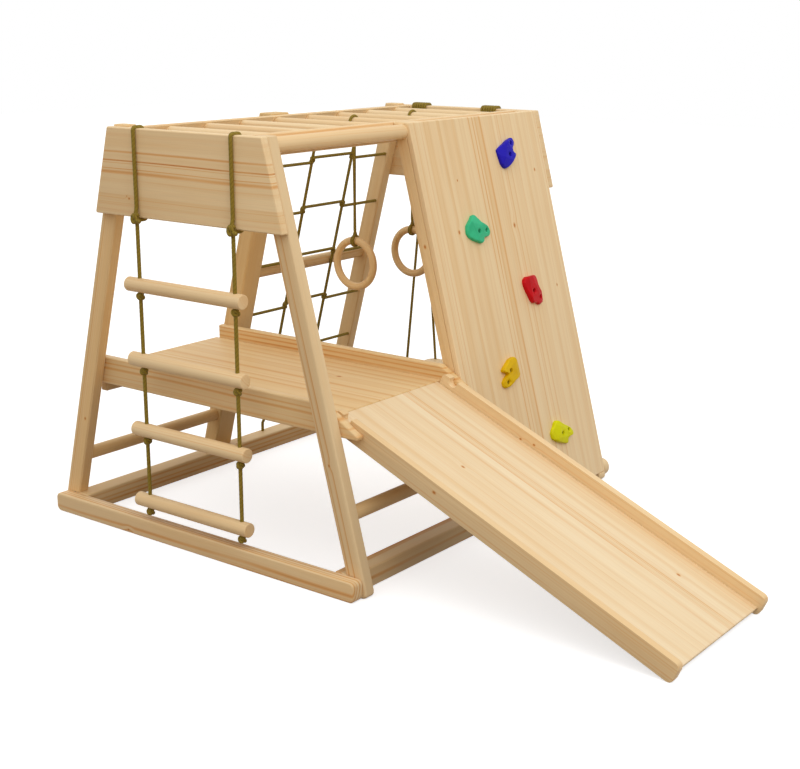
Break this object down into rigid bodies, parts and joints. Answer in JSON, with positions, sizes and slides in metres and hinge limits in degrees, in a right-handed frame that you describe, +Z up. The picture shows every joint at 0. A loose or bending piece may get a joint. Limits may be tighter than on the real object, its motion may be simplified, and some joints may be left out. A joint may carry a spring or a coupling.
{
  "type": "kids indoor gym",
  "caption": "Free-standing wooden A-frame climbing gym with deck and slide, climbing wall with holds, rope net, monkey bars, rings, rope ladder and board swing.",
  "frame": {"origin": "middle of the underside of the floor bar at the rope ladder's end, on the floor", "axes": "+X along the frame from the rope ladder to the swing, +Y from the slide and climbing wall to the net at the back, +Z up"},
  "size_m": [1.3759, 2.0113, 1.1613],
  "materials": {
    "pine": "planed pine, clear matt lacquer",
    "turned_pine": "turned pine, clear matt lacquer",
    "rope_fibre": "dark olive twisted rope",
    "moulded_blue": "moulded coloured resin, satin",
    "moulded_green": "moulded coloured resin, satin",
    "moulded_red": "moulded coloured resin, satin",
    "moulded_amber": "moulded coloured resin, satin",
    "moulded_lime": "moulded coloured resin, satin"
  },
  "bodies": {
    "frame": {"back_rail": "turned_pine", "base_bar_back": "pine", "base_bar_front": "pine", "base_bar_ladder_end": "pine", "base_bar_swing_end": "pine", "climbing_wall": "pine", "deck_board": "pine", "deck_cleat": "pine", "deck_side_ladder_end": "pine", "deck_side_middle": "pine", "end_board_ladder": "pine", "end_board_swing": "pine", "handrail": "turned_pine", "hold_amber": "moulded_amber", "hold_blue": "moulded_blue", "hold_green": "moulded_green", "hold_lime": "moulded_lime", "hold_red": "moulded_red", "ladder_loop_left": "rope_fibre", "ladder_loop_right": "rope_fibre", "leg_back_ladder_end": "pine", "leg_back_middle": "pine", "leg_back_swing_end": "pine", "leg_front_ladder_end": "pine", "leg_front_middle": "pine", "leg_front_swing_end": "pine", "low_rail_back": "turned_pine", "low_rail_front": "turned_pine", "monkey_bar_1": "turned_pine", "monkey_bar_2": "turned_pine", "monkey_bar_3": "turned_pine", "monkey_bar_4": "turned_pine", "monkey_bar_5": "turned_pine", "monkey_bar_6": "turned_pine", "monkey_bar_7": "turned_pine", "monkey_bar_8": "turned_pine", "rope_net": "rope_fibre", "swing_winding_back": "rope_fibre", "swing_winding_front": "rope_fibre", "top_rail_back": "pine", "top_rail_front": "pine"},
    "ladder": {"ladder_rung_1": "turned_pine", "ladder_rung_2": "turned_pine", "ladder_rung_3": "turned_pine", "ladder_rung_4": "turned_pine", "ladder_rope_left": "rope_fibre", "ladder_rope_right": "rope_fibre"},
    "ring_near_deck": {"ring_1": "turned_pine", "ring_rope_1": "rope_fibre"},
    "ring_near_swing": {"ring_2": "turned_pine", "ring_rope_2": "rope_fibre"},
    "swing": {"swing_seat": "pine", "swing_rope_inner_back": "rope_fibre", "swing_rope_inner_front": "rope_fibre", "swing_rope_outer_back": "rope_fibre", "swing_rope_outer_front": "rope_fibre"},
    "slide": {"slide_bed": "pine", "slide_rail_ladder_side": "pine", "slide_rail_wall_side": "pine"}
  },
  "joints": [
    {"name": "ladder_swing", "type": "hinge", "parent": "frame", "child": "ladder", "pos_m": [-0.0098, 0, 0.8971], "axis": [0, 1, 0], "range_deg": [-6, 35]},
    {"name": "ring_1_swing", "type": "hinge", "parent": "frame", "child": "ring_near_deck", "pos_m": [0.7343, 0.03, 1.129], "axis": [0, 1, 0], "range_deg": [-14, 40]},
    {"name": "ring_2_swing", "type": "hinge", "parent": "frame", "child": "ring_near_swing", "pos_m": [1.0233, 0.03, 1.129], "axis": [0, 1, 0], "range_deg": [-25, 14]},
    {"name": "board_swing", "type": "hinge", "parent": "frame", "child": "swing", "pos_m": [1.2526, 0.027, 0.8998], "axis": [0, 1, 0], "range_deg": [-30, 30]},
    {"name": "slide_lift", "type": "slide", "parent": "frame", "child": "slide", "axis": [0, -0.3923, 0.9198], "range_m": [0, 0.04]}
  ]
}
